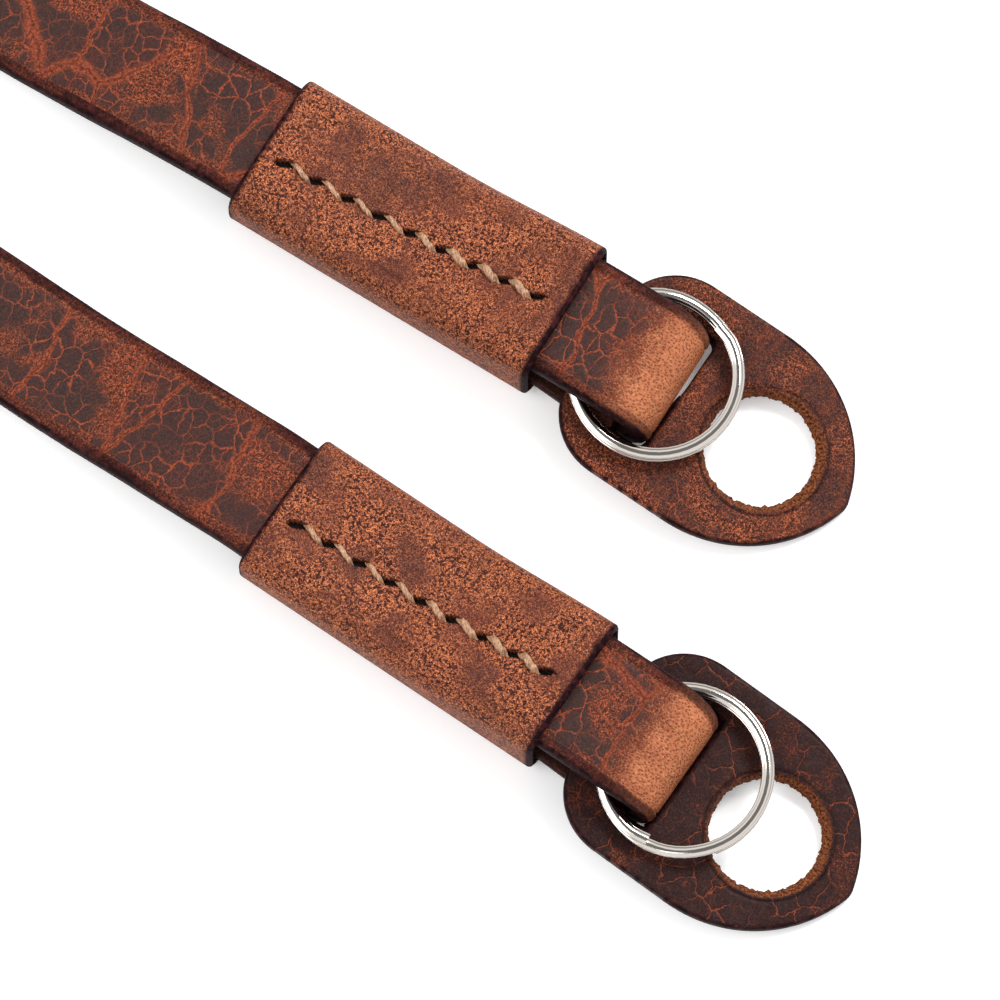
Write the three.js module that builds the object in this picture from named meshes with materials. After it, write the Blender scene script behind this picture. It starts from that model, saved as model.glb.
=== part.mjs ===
import * as THREE from 'three';

// A camera neck strap laid on a flat surface, in millimetres with Z up.
// Its two ends point along +X, side by side, and the rest stands on edge in a loop towards -X.
// At each end the leather folds round a split ring, passes through the slot of a ring guard
// and goes back under a sewn sleeve.

// Strap
const strapLength = 1000;
const strapWidth = 12;
const strapThickness = 2;
const grainEdgeBevel = 0.45;
const fleshEdgeBevel = 0.25;

// Sewn sleeve
const keeperLength = 31.8;
const keeperWall = 1.0;
const keeperCornerRadius = 2.2;
const keeperInnerRadius = 0.6;
const keeperRimBevel = 0.3;
const keeperRiseLength = 16;
const coverRiseLead = 1;
const tailSetback = 1.5;

// Split ring, wide enough for the fold to pass between its sides
const ringSideClearance = 0.85;
const wireWidth = 1.15;
const wireHeight = 0.64;
const wireBevel = 0.2;
const coilGap = 0.1;
const ringTiltDegrees = 2.5;
const crossoverDegrees = 44;
const coilEndGapDegrees = 2;

// Ring guard
const guardLength = 27.2;
const guardMargin = 4.25;
const guardThickness = 1.4;
const guardRearRadius = 6.2;
const guardSideLength = 8;
const guardTipRadius = 1.8;
const guardEdgeBevel = 0.3;
const guardRearSetback = 2.8;
const guardHoleDiameter = 10.6;
const holeTipMargin = 4;
const guardHoleBevel = 0.35;
const slotRear = 5.65;
const slotCornerRadius = 0.8;
const slotBevel = 0.15;

// Clearances
const sleeveClearance = 0.12;
const layerClearance = 0.15;
const foldLap = 0.47;
const slotEndClearance = 0.55;
const slotFrontClearance = 0.6;
const floorClearance = 0.05;

// Lie of the strap on the surface
const endSpacing = 28.8;
const endLead = 19.6;
const splayDegrees = 1.26;
const settleLength = 26;
const flatRun = 48;
const twistLength = 110;
const flareLength = 60;
const loopRadius = 60;

// The lower layer reaches the surface this many times the guard's setback ahead of the sleeve.
const dropShare = 1.8;

// One row for each end. The ring's place is its centre ahead of the sleeve, as a share of its diameter.
const endTable = [
  { side: 'left', sign: 1, ringShare: 0.585, crossover: 70, guardTurn: -1.5, guardShift: 0.1 },
  { side: 'right', sign: -1, ringShare: 0.735, crossover: -83, guardTurn: -1, guardShift: 0.1 },
];

const leather = new THREE.MeshStandardMaterial({ color: 0x6b4a3c, roughness: 0.55, metalness: 0 });
const sleeveLeather = new THREE.MeshStandardMaterial({ color: 0x74432f, roughness: 0.5, metalness: 0 });
const guardLeather = new THREE.MeshStandardMaterial({ color: 0x563a30, roughness: 0.55, metalness: 0 });
const nickel = new THREE.MeshStandardMaterial({ color: 0xd8d8d6, roughness: 0.18, metalness: 1 });

const radians = THREE.MathUtils.degToRad;
const smooth = (value) => THREE.MathUtils.smoothstep(value, 0, 1);

// Widths that follow from the strap's
const ringDiameter = strapWidth + 2 * (ringSideClearance + wireWidth);
const slotWidth = strapWidth + 2 * slotEndClearance;
const guardWidth = strapWidth + 2 * guardMargin;
const guardHoleCentre = guardLength - holeTipMargin - guardHoleDiameter / 2;

// Heights of the stack at the ring end, which follow from the thicknesses and the clearances
const keeperFloor = keeperWall + sleeveClearance;
const guardSlope = (strapThickness + layerClearance - floorClearance) / (guardLength - slotRear);
const guardRearBottom = floorClearance + guardSlope * guardLength;
const guardTilt = Math.atan(guardSlope);
const guardRearTop = guardRearBottom + guardThickness / Math.cos(guardTilt);
const ringHeight = 2 * wireHeight + coilGap;
const ringSeat = guardRearTop + layerClearance;
const ringRears = endTable.map((end) => ringCentre(end) - ringDiameter / 2);
const ringOverhang = Math.max(guardRearSetback - Math.min(...ringRears), 0);
const ringRearRise = Math.tan(radians(ringTiltDegrees)) * ringOverhang;
const upperLayerBottom = ringSeat + ringHeight + ringRearRise + layerClearance;

// The fold's nose stands just ahead of the guard's slot rear, with the guard's web inside the fold.
const foldRadius = (upperLayerBottom - strapThickness) / 2;
const foldCentreX = guardRearSetback + slotRear - foldLap;
const foldCentreZ = strapThickness + foldRadius;
const foldOuterRadius = foldRadius + strapThickness;
const dropLength = dropShare * guardRearSetback;
const slotFront = foldCentreX + foldOuterRadius + slotFrontClearance - guardRearSetback;

// Middle heights of the two layers inside the sleeve
const tailHeight = keeperFloor + strapThickness / 2;
const coverHeight = tailHeight + strapThickness + layerClearance;
const coverHeightAtFold = upperLayerBottom + strapThickness / 2;

/** The ring's centre ahead of the sleeve. */
function ringCentre(end) {
  return end.ringShare * ringDiameter;
}

/** Middle height of the lower layer at x, where x is 0 at the sleeve's ring end. */
function tailHeightAt(x) {
  return THREE.MathUtils.lerp(tailHeight, strapThickness / 2, smooth(x / dropLength));
}

/** Middle height of the upper layer at x, from the fold back to where it lies on the surface. */
function coverHeightAt(x) {
  if (x >= -keeperLength) {
    const risen = smooth((x + keeperRiseLength) / (keeperRiseLength + coverRiseLead));
    return THREE.MathUtils.lerp(coverHeight, coverHeightAtFold, risen);
  }
  return THREE.MathUtils.lerp(coverHeight, strapThickness / 2, smooth((-keeperLength - x) / settleLength));
}

/** A closed solid through rings of points: each ring has as many points, and each end is a flat fan. */
function loftedSolid(rings) {
  const count = rings[0].length;
  const positions = rings.flat().flatMap((point) => [point.x, point.y, point.z]);
  const index = [];
  for (let r = 0; r + 1 < rings.length; r += 1) {
    for (let p = 0; p < count; p += 1) {
      const a = r * count + p;
      const b = r * count + (p + 1) % count;
      index.push(a, b, b + count, a, b + count, a + count);
    }
  }
  const last = (rings.length - 1) * count;
  for (let p = 1; p + 1 < count; p += 1) {
    index.push(0, p + 1, p);
    index.push(last, last + p, last + p + 1);
  }
  return geometryFrom(positions, index);
}

/** An indexed geometry with normals, from flat lists of coordinates and corners. */
function geometryFrom(positions, index) {
  const geometry = new THREE.BufferGeometry();
  geometry.setAttribute('position', new THREE.Float32BufferAttribute(positions, 3));
  geometry.setIndex(index);
  geometry.computeVertexNormals();
  return geometry;
}

/** Section of the strap: across its width and up to its grain side, with worn edges. */
function strapSection() {
  const half = strapWidth / 2;
  const up = strapThickness / 2;
  const corner = grainEdgeBevel;
  const mid = corner * 0.3;
  return [
    [-half, -up + fleshEdgeBevel], [-half + fleshEdgeBevel, -up],
    [half - fleshEdgeBevel, -up], [half, -up + fleshEdgeBevel],
    [half, up - corner], [half - mid, up - mid], [half - corner, up],
    [-half + corner, up], [-half + mid, up - mid], [-half, up - corner],
  ];
}

/** Stations of one folded end, in the plane of its own axis, from the hidden tail to the flat strap. */
function foldedEndStations() {
  const stations = [];
  const add = (x, z) => stations.push({ x, z });
  add(-keeperLength + tailSetback, tailHeight);
  for (const share of [0, 0.2, 0.4, 0.6, 0.8, 1]) add(dropLength * share, tailHeightAt(dropLength * share));
  const foldSteps = 14;
  const foldMiddle = foldRadius + strapThickness / 2;
  for (let step = 0; step <= foldSteps; step += 1) {
    const angle = (step / foldSteps - 0.5) * Math.PI;
    add(foldCentreX + foldMiddle * Math.cos(angle), foldCentreZ + foldMiddle * Math.sin(angle));
  }
  for (const share of [0, 0.15, 0.3, 0.45, 0.6, 0.8, 1]) {
    const x = coverRiseLead - (keeperRiseLength + coverRiseLead) * share;
    add(x, coverHeightAt(x));
  }
  for (const share of [0, 0.12, 0.25, 0.38, 0.5, 0.62, 0.75, 0.88, 1]) {
    const x = -keeperLength - settleLength * share;
    add(x, coverHeightAt(x));
  }
  return stations;
}

/** Where an end's own frame stands: its origin is on the surface at the sleeve's ring end. */
function endPlace(end) {
  const heading = radians(splayDegrees) * end.sign;
  return { x: -endLead * (1 + end.sign) / 2, y: end.sign * endSpacing / 2, heading };
}

/** A point of an end's own frame in the frame of the whole strap. */
function placed(place, x, y, z) {
  const cos = Math.cos(place.heading);
  const sin = Math.sin(place.heading);
  return new THREE.Vector3(place.x + x * cos - y * sin, place.y + x * sin + y * cos, z);
}

/** Walks a run of the strap seen from above, in steps, and returns its points with heading and roll. */
function walk(start, length, steps, turn, rollFrom, rollTo) {
  const points = [];
  let { x, y, heading } = start;
  const fine = 24;
  for (let step = 1; step <= steps; step += 1) {
    for (let part = 0; part < fine; part += 1) {
      const done = (step - 1 + (part + 0.5) / fine) / steps;
      const angle = start.heading + turn * smooth(done);
      x += Math.cos(angle) * length / steps / fine;
      y += Math.sin(angle) * length / steps / fine;
    }
    heading = start.heading + turn * smooth(step / steps);
    points.push({ x, y, heading, roll: THREE.MathUtils.lerp(rollFrom, rollTo, smooth(step / steps)) });
  }
  return points;
}

/** The loop: an arc whose radius is the loop's. */
function walkArc(start, turn, steps) {
  const points = [];
  for (let step = 1; step <= steps; step += 1) {
    const heading = start.heading + turn * step / steps;
    const x = start.x + loopRadius * (Math.sin(heading) - Math.sin(start.heading));
    const y = start.y - loopRadius * (Math.cos(heading) - Math.cos(start.heading));
    points.push({ x, y, heading, roll: Math.PI / 2 });
  }
  return points;
}

const splay = radians(splayDegrees);
const quarter = Math.PI / 2;

/** The free strap between the ends, seen from above, for a given flare and straight runs beside the loop. */
function freeRoute(start, flare, leftStraight, rightStraight) {
  const route = [start];
  const follow = (points) => route.push(...points);
  const here = () => route[route.length - 1];
  follow(walk(here(), flatRun, 1, 0, 0, 0));
  follow(walk(here(), twistLength, 18, 0, 0, quarter));
  follow(walk(here(), flareLength, 8, -flare - splay, quarter, quarter));
  follow(walk(here(), leftStraight, 1, 0, quarter, quarter));
  follow(walkArc(here(), Math.PI + 2 * flare, 44));
  follow(walk(here(), rightStraight, 1, 0, quarter, quarter));
  follow(walk(here(), flareLength, 8, -flare - splay, quarter, quarter));
  follow(walk(here(), twistLength, 18, 0, quarter, 0));
  follow(walk(here(), flatRun, 1, 0, 0, 0));
  return route;
}

/** Length of leather in one end, from the fold's nose to where the strap lies flat. */
function endLeather(stations) {
  const nose = stations.reduce((best, station, i) => (station.x > stations[best].x ? i : best), 0);
  let length = 0;
  for (let i = nose + 1; i < stations.length; i += 1) {
    length += Math.hypot(stations[i].x - stations[i - 1].x, stations[i].z - stations[i - 1].z);
  }
  return length;
}

/** The straight runs beside the loop that bring the route from one end to the other for a given flare. */
function straightRuns(leftStart, rightStart, flare) {
  const bare = freeRoute(leftStart, flare, 0, 0).at(-1);
  const sum = (rightStart.y - bare.y) / Math.sin(flare);
  const difference = (rightStart.x - bare.x) / Math.cos(flare);
  return { left: (sum - difference) / 2, right: (sum + difference) / 2, sum };
}

/** The flare that uses up the strap's length: the wider it is, the shorter the loop's straight sides. */
function flareForLength(leftStart, rightStart, leatherInEnds) {
  let narrow = radians(3);
  let wide = radians(80);
  for (let step = 0; step < 40; step += 1) {
    const flare = (narrow + wide) / 2;
    const bends = 2 * (flatRun + twistLength + flareLength) + loopRadius * (Math.PI + 2 * flare);
    const length = leatherInEnds + bends + straightRuns(leftStart, rightStart, flare).sum;
    if (length > strapLength) narrow = flare;
    else wide = flare;
  }
  return (narrow + wide) / 2;
}

/** The strap: both folded ends and the free run between them, as one strip of leather. */
function strap() {
  const stations = foldedEndStations();
  const [leftPlace, rightPlace] = endTable.map(endPlace);
  const settled = stations.at(-1).x;
  const startOf = (place) => {
    const point = placed(place, settled, 0, 0);
    return { x: point.x, y: point.y, heading: place.heading + Math.PI, roll: 0 };
  };
  const leftStart = startOf(leftPlace);
  const rightStart = startOf(rightPlace);
  const flare = flareForLength(leftStart, rightStart, 2 * endLeather(stations));
  const runs = straightRuns(leftStart, rightStart, flare);
  const route = freeRoute(leftStart, flare, runs.left, runs.right).slice(1, -1);

  const section = strapSection();
  const rings = [];
  const addRing = (centre, wide, up) => rings.push(section.map(([across, above]) => (
    centre.clone().addScaledVector(wide, across).addScaledVector(up, above)
  )));
  const addEnd = (place, order, direction) => {
    order.forEach((station, i) => {
      const before = order[Math.max(i - 1, 0)];
      const after = order[Math.min(i + 1, order.length - 1)];
      const tangent = placed(place, after.x, 0, after.z);
      tangent.sub(placed(place, before.x, 0, before.z)).normalize();
      const wide = new THREE.Vector3(Math.sin(place.heading), -Math.cos(place.heading), 0);
      wide.multiplyScalar(direction);
      addRing(placed(place, station.x, 0, station.z), wide, tangent.clone().cross(wide));
    });
  };
  addEnd(leftPlace, stations, 1);
  for (const point of route) {
    const left = new THREE.Vector3(-Math.sin(point.heading), Math.cos(point.heading), 0);
    const wide = left.clone().multiplyScalar(Math.cos(point.roll));
    wide.z = Math.sin(point.roll);
    const up = left.multiplyScalar(-Math.sin(point.roll));
    up.z = Math.cos(point.roll);
    const height = strapWidth / 2 * Math.sin(point.roll) + strapThickness / 2 * Math.cos(point.roll);
    addRing(new THREE.Vector3(point.x, point.y, height), wide, up);
  }
  addEnd(rightPlace, [...stations].reverse(), -1);
  return loftedSolid(rings);
}

/** Points round a rectangle with rounded corners, across and up, starting low on one side. */
function roundedRectangle(halfWidth, bottom, top, radius, steps) {
  const points = [];
  const corners = [
    [halfWidth - radius, bottom + radius, -90],
    [halfWidth - radius, top - radius, 0],
    [-halfWidth + radius, top - radius, 90],
    [-halfWidth + radius, bottom + radius, 180],
  ];
  for (const [across, up, from] of corners) {
    for (let step = 0; step <= steps; step += 1) {
      const angle = radians(from + 90 * step / steps);
      points.push([across + radius * Math.cos(angle), up + radius * Math.sin(angle)]);
    }
  }
  return points;
}

/** The sleeve: a leather tube round both layers, taller where the layers part for the ring. */
function keeper() {
  const shares = [0, 0.25, 0.5, 0.58, 0.66, 0.74, 0.82, 0.9, 1];
  const innerHalf = strapWidth / 2 + sleeveClearance;
  const cornerSteps = 4;
  const outside = [];
  const inside = [];
  const addStation = (x, inset) => {
    const roof = coverHeightAt(x) + strapThickness / 2 + sleeveClearance;
    const ringAt = (points) => points.map(([across, up]) => new THREE.Vector3(x, across, up));
    const outerHalf = innerHalf + keeperWall - inset;
    const radius = keeperCornerRadius - inset;
    outside.push(ringAt(roundedRectangle(outerHalf, inset, roof + keeperWall - inset, radius, cornerSteps)));
    inside.push(ringAt(roundedRectangle(innerHalf, keeperWall, roof, keeperInnerRadius, cornerSteps)));
  };
  addStation(-keeperLength, keeperRimBevel);
  for (const share of shares) {
    addStation(-keeperLength + keeperRimBevel + share * (keeperLength - 2 * keeperRimBevel), 0);
  }
  addStation(0, keeperRimBevel);
  return tubeSolid(outside, inside);
}

/** A closed tube between outer and inner rings of points that run side by side. */
function tubeSolid(outside, inside) {
  const rings = [...outside, ...[...inside].reverse()];
  const count = rings[0].length;
  const positions = rings.flat().flatMap((point) => [point.x, point.y, point.z]);
  const index = [];
  for (let r = 0; r < rings.length; r += 1) {
    const next = (r + 1) % rings.length;
    for (let p = 0; p < count; p += 1) {
      const q = (p + 1) % count;
      const [a, b] = [r * count + p, r * count + q];
      const [c, d] = [next * count + q, next * count + p];
      index.push(a, b, c, a, c, d);
    }
  }
  return geometryFrom(positions, index);
}

/** The split ring: one flat wire wound twice, stepping up from the lower coil to the upper one. */
function splitRing(crossover) {
  const halfWidth = wireWidth / 2;
  const halfHeight = wireHeight / 2;
  const middle = ringDiameter / 2 - halfWidth;
  const section = [
    [-halfWidth, -halfHeight + wireBevel], [-halfWidth + wireBevel, -halfHeight],
    [halfWidth - wireBevel, -halfHeight], [halfWidth, -halfHeight + wireBevel],
    [halfWidth, halfHeight - wireBevel], [halfWidth - wireBevel, halfHeight],
    [-halfWidth + wireBevel, halfHeight], [-halfWidth, halfHeight - wireBevel],
  ].reverse();
  const half = crossoverDegrees / 2;
  const from = half + coilEndGapDegrees;
  const to = 720 - half - coilEndGapDegrees;
  const plainSteps = 32;
  const stepSteps = 6;
  const angles = [from];
  for (const [end, steps] of [[360 - half, plainSteps], [360 + half, stepSteps], [to, plainSteps]]) {
    const start = angles.at(-1);
    for (let step = 1; step <= steps; step += 1) angles.push(start + (end - start) * step / steps);
  }
  const rings = angles.map((degrees) => {
    const rise = smooth((degrees - 360 + half) / (2 * half)) * (wireHeight + coilGap);
    const angle = radians(degrees + crossover);
    return section.map(([out, up]) => new THREE.Vector3(
      (middle + out) * Math.cos(angle), (middle + out) * Math.sin(angle), halfHeight + rise + up,
    ));
  });
  return loftedSolid(rings);
}

/** Outline of the guard's leaf from above, counter-clockwise: rear edge at x 0, tip at its length. */
function guardOutline() {
  const half = guardWidth / 2;
  const sideEnd = guardRearRadius + guardSideLength;
  const reach = guardLength - guardTipRadius - sideEnd;
  // The front arc leaves the straight side and runs into the round tip without a corner.
  const frontRadius = (reach ** 2 + half ** 2 - guardTipRadius ** 2) / (2 * (half - guardTipRadius));
  const sweep = Math.atan2(reach, frontRadius - half);
  const lower = [
    ...arcPoints(guardRearRadius, guardRearRadius - half, guardRearRadius, -Math.PI, -Math.PI / 2, 6),
    ...arcPoints(sideEnd, frontRadius - half, frontRadius, -Math.PI / 2, sweep - Math.PI / 2, 9),
  ];
  const tip = arcPoints(guardLength - guardTipRadius, 0, guardTipRadius, sweep - Math.PI / 2, 0, 3).slice(1);
  const nearSide = [...lower, ...tip];
  const farSide = nearSide.slice(0, -1).map((point) => new THREE.Vector2(point.x, -point.y)).reverse();
  return [...nearSide, ...farSide];
}

/** Points of an arc about a centre, both ends included. */
function arcPoints(x, y, radius, from, to, steps) {
  return Array.from({ length: steps + 1 }, (_, step) => {
    const angle = from + (to - from) * step / steps;
    return new THREE.Vector2(x + radius * Math.cos(angle), y + radius * Math.sin(angle));
  });
}

/** A loop moved to the right of its direction of travel, which is outward on a counter-clockwise loop. */
function offsetLoop(loop, distance) {
  return loop.map((point, i) => {
    const before = loop[(i + loop.length - 1) % loop.length];
    const after = loop[(i + 1) % loop.length];
    const along = after.clone().sub(before).normalize();
    return new THREE.Vector2(point.x + along.y * distance, point.y - along.x * distance);
  });
}

/** A flat plate between a counter-clockwise outline and clockwise cut-outs, with bevelled edges. */
function plateSolid(loops, thickness) {
  const positions = [];
  const index = [];
  const bottomMap = [];
  const topMap = [];
  const narrowed = loops.map(({ loop, bevel }) => offsetLoop(loop, -bevel));
  loops.forEach(({ loop, bevel }, l) => {
    const levels = [
      [narrowed[l], 0], [loop, bevel], [loop, thickness - bevel], [narrowed[l], thickness],
    ];
    const base = positions.length / 3;
    const count = loop.length;
    for (const [points, z] of levels) for (const point of points) positions.push(point.x, point.y, z);
    for (let level = 0; level + 1 < levels.length; level += 1) {
      for (let p = 0; p < count; p += 1) {
        const a = base + level * count + p;
        const b = base + level * count + (p + 1) % count;
        index.push(a, b, b + count, a, b + count, a + count);
      }
    }
    for (let p = 0; p < count; p += 1) {
      bottomMap.push(base + p);
      topMap.push(base + 3 * count + p);
    }
  });
  for (const [a, b, c] of THREE.ShapeUtils.triangulateShape(narrowed[0], narrowed.slice(1))) {
    index.push(topMap[a], topMap[b], topMap[c], bottomMap[a], bottomMap[c], bottomMap[b]);
  }
  return geometryFrom(positions, index);
}

/** The guard: a leather leaf with the strap's slot near its rear and a round hole near its tip. */
function guard() {
  const slotMiddle = (slotRear + slotFront) / 2;
  const slot = roundedRectangle(slotWidth / 2, slotRear, slotFront, slotCornerRadius, 3)
    .map(([across, along]) => new THREE.Vector2(along, across));
  const hole = arcPoints(guardHoleCentre, 0, guardHoleDiameter / 2, 2 * Math.PI, 0, 36).slice(0, -1);
  return plateSolid([
    { loop: guardOutline(), bevel: guardEdgeBevel },
    { loop: slot, bevel: slotBevel },
    { loop: hole, bevel: guardHoleBevel },
  ], guardThickness);
}

/** A named mesh of one piece. */
function piece(name, geometry, material) {
  const mesh = new THREE.Mesh(geometry, material);
  mesh.name = name;
  return mesh;
}

const group = new THREE.Group();
group.add(piece('strap', strap(), leather));

for (const end of endTable) {
  const place = endPlace(end);
  const frame = new THREE.Group();
  frame.position.set(place.x, place.y, 0);
  frame.rotation.z = place.heading;
  frame.add(piece(`keeper_${end.side}`, keeper(), sleeveLeather));

  const turned = new THREE.Group();
  turned.position.set(guardRearSetback, end.guardShift, guardRearBottom);
  turned.rotation.z = radians(end.guardTurn);
  const leaf = piece(`guard_${end.side}`, guard(), guardLeather);
  leaf.rotation.y = guardTilt;
  turned.add(leaf);
  frame.add(turned);

  const centre = ringCentre(end);
  const touch = Math.max(guardRearSetback, centre - ringDiameter / 2);
  const ringSlope = Math.tan(radians(ringTiltDegrees));
  const seat = ringSeat - guardSlope * (touch - guardRearSetback) - ringSlope * (centre - touch);
  const ring = piece(`split_ring_${end.side}`, splitRing(end.crossover), nickel);
  ring.position.set(centre, 0, seat);
  ring.rotation.y = radians(ringTiltDegrees);
  frame.add(ring);
  group.add(frame);
}

// The origin is at the middle of the underside of the whole strap.
const bounds = new THREE.Box3().setFromObject(group, true);
const middle = bounds.getCenter(new THREE.Vector3());
group.position.set(-middle.x, -middle.y, -bounds.min.z);

export default group;
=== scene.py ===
# %% [markdown]
# # A leather camera neck strap
# The strap is one long strip of waxed cowhide. Each end folds round a split ring, passes through a
# leather ring guard and is sewn shut in a leather sleeve, called a keeper. The solids of the frame give
# every size and place, and this script gives each piece its finished surface.

# %% Load the frame
import math
from functools import partial

import bmesh
import bpy
import numpy as np
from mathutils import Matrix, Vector, noise


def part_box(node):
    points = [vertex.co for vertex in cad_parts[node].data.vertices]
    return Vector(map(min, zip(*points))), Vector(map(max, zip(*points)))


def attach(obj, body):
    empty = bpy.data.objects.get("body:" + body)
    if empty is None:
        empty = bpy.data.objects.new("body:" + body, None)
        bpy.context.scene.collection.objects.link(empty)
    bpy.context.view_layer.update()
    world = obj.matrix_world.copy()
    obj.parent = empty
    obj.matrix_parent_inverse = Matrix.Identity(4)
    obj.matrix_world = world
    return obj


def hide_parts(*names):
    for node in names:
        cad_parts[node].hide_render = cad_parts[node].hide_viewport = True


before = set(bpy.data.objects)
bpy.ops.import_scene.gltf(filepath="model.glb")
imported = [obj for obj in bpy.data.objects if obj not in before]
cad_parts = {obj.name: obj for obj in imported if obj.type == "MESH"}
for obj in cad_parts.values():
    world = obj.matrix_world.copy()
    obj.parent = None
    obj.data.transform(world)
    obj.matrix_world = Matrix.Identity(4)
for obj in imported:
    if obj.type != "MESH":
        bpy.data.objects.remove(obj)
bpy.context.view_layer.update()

print("nodes", sorted(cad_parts))

# %% [markdown]
# ## Sizes
# The strip is cut from one hide, so its sizes are few: a width, a thickness and a length. They are
# written in millimetres, as a maker writes them, and turned to metres once, when the points are stored.

# %% Sizes of the leather and the ring, in millimetres
MM = 0.001
# The strip, and the sleeve round its two layers.
strap_width = 12.0
strap_thickness = 2.0
strap_length = 1000.0
keeper_length = 31.8
keeper_wall = 1.0
keeper_corner = 2.2
keeper_rise = 16.0
rise_lead = 1.0
tail_setback = 1.5
fold_lap = 0.47
# The flattened wire of a ring.
wire_width = 1.15
wire_height = 0.64
coil_gap = 0.1
ring_side_gap = 0.85
ring_diameter = strap_width + 2 * (ring_side_gap + wire_width)
ring_tilt = math.radians(2.5)
# The guard, with its round hole and its slot.
guard_length = 27.2
guard_thickness = 1.4
guard_side_border = 4.25
guard_width = strap_width + 2 * guard_side_border
guard_setback = 2.8
hole_diameter = 10.6
hole_border = 4.0
slot_rear = 5.65
slot_side_gap = 0.15
slot_width = strap_width + 2 * slot_side_gap
slot_front_gaps = {"left": 0.15, "right": 0.03}
# Gaps between the pieces.
sleeve_clearance = 0.12
layer_clearance = 0.15
floor_clearance = 0.05

# %% Heights of the stack at a ring end, and the fold round it
guard_slope = (strap_thickness + layer_clearance - floor_clearance) / (guard_length - slot_rear)
guard_rear_bottom = floor_clearance + guard_slope * guard_length
guard_tilt = math.atan(guard_slope)
ring_seat = guard_rear_bottom + guard_thickness / math.cos(guard_tilt) + layer_clearance
ring_shares = {"left": 0.585, "right": 0.735}
ring_rear = min(ring_shares.values()) * ring_diameter - ring_diameter / 2
ring_rise = math.tan(ring_tilt) * max(guard_setback - ring_rear, 0)
upper_bottom = ring_seat + 2 * wire_height + coil_gap + ring_rise + layer_clearance
fold_radius = (upper_bottom - strap_thickness) / 2
fold_x = guard_setback + slot_rear - fold_lap
fold_z = strap_thickness + fold_radius
slot_fronts = {
    side: fold_x + fold_radius + strap_thickness + gap - guard_setback
    for side, gap in slot_front_gaps.items()
}
tail_z = keeper_wall + sleeve_clearance + strap_thickness / 2
cover_z = tail_z + strap_thickness + layer_clearance
fold_cover_z = upper_bottom + strap_thickness / 2
fold_top = fold_cover_z + strap_thickness / 2
print("fold radius", round(fold_radius, 2), "mm, top of the fold", round(fold_top, 2), "mm")

# %% [markdown]
# ## The way the strap lies
# A strip of leather bends easily across its thickness and hardly at all across its width. So it lies
# flat at its two ends, twists on to its edge over a hand's breadth, and makes its loop standing on
# edge. The route below is worked out from that: a list of points with the direction across the leather
# at each, spaced finely enough that the strip can later be laid along it by its length.

# %% Heights along one end
end_spacing = 28.8
end_lead = 19.6
splay = math.radians(1.26)
settle_length = 26.0
flat_run = 48.0
twist_length = 110.0
flare_length = 60.0
loop_radius = 60.0
drop_share = 1.8


def smooth(value):
    """Rises from 0 to 1 with level ends."""
    value = np.clip(value, 0.0, 1.0)
    return value * value * (3 - 2 * value)


def tail_height(x):
    """Middle height of the lower layer, x ahead of the sleeve's ring end."""
    return tail_z + (strap_thickness / 2 - tail_z) * smooth(x / (drop_share * guard_setback))


def cover_height(x):
    """Middle height of the upper layer from the fold back to the surface."""
    risen = cover_z + (fold_cover_z - cover_z) * smooth((x + keeper_rise) / (keeper_rise + rise_lead))
    settled = cover_z + (strap_thickness / 2 - cover_z) * smooth((-keeper_length - x) / settle_length)
    return np.where(x >= -keeper_length, risen, settled)


# %% Points of one folded end, from its hidden tail to where the strap lies flat
def folded_end():
    """Rows of x and z in the plane of the end's own axis."""
    tail = np.array([-keeper_length + tail_setback, -10.0, -0.01])
    lower = np.linspace(0, fold_x, 40)
    turn = np.linspace(-math.pi / 2, math.pi / 2, 60)[1:-1]
    middle = fold_radius + strap_thickness / 2
    upper = np.linspace(fold_x, -keeper_length - settle_length, 240)
    return np.concatenate([
        np.column_stack([tail, np.full(3, tail_z)]),
        np.column_stack([lower, tail_height(lower)]),
        np.column_stack([fold_x + middle * np.cos(turn), fold_z + middle * np.sin(turn)]),
        np.column_stack([upper, cover_height(upper)]),
    ])


def end_place(sign):
    """Where an end's own frame stands before the strap is centred: x, y and heading."""
    return -end_lead * (1 + sign) / 2, sign * end_spacing / 2, splay * sign


end_points = folded_end()
nose = int(np.argmax(end_points[:, 0]))
end_leather = float(np.linalg.norm(np.diff(end_points[nose:], axis=0), axis=1).sum())
print("leather from a fold's nose to the flat", round(end_leather, 1), "mm")


# %% The free strap seen from above
def walk(start, length, steps, turn, roll_from, roll_to):
    """Steps along a run that turns and rolls smoothly: rows of x, y, heading and roll."""
    x, y, heading, _ = start
    rows = []
    fine = 24
    for step in range(1, steps + 1):
        for part in range(fine):
            angle = heading + turn * float(smooth((step - 1 + (part + 0.5) / fine) / steps))
            x += math.cos(angle) * length / steps / fine
            y += math.sin(angle) * length / steps / fine
        done = float(smooth(step / steps))
        rows.append((x, y, heading + turn * done, roll_from + (roll_to - roll_from) * done))
    return rows


def walk_arc(start, turn, steps):
    """The loop itself, standing on edge."""
    x, y, heading, roll = start
    centre_x = x - loop_radius * math.sin(heading)
    centre_y = y + loop_radius * math.cos(heading)
    angles = [heading + turn * step / steps for step in range(1, steps + 1)]
    return [
        (centre_x + loop_radius * math.sin(a), centre_y - loop_radius * math.cos(a), a, roll)
        for a in angles
    ]


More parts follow.
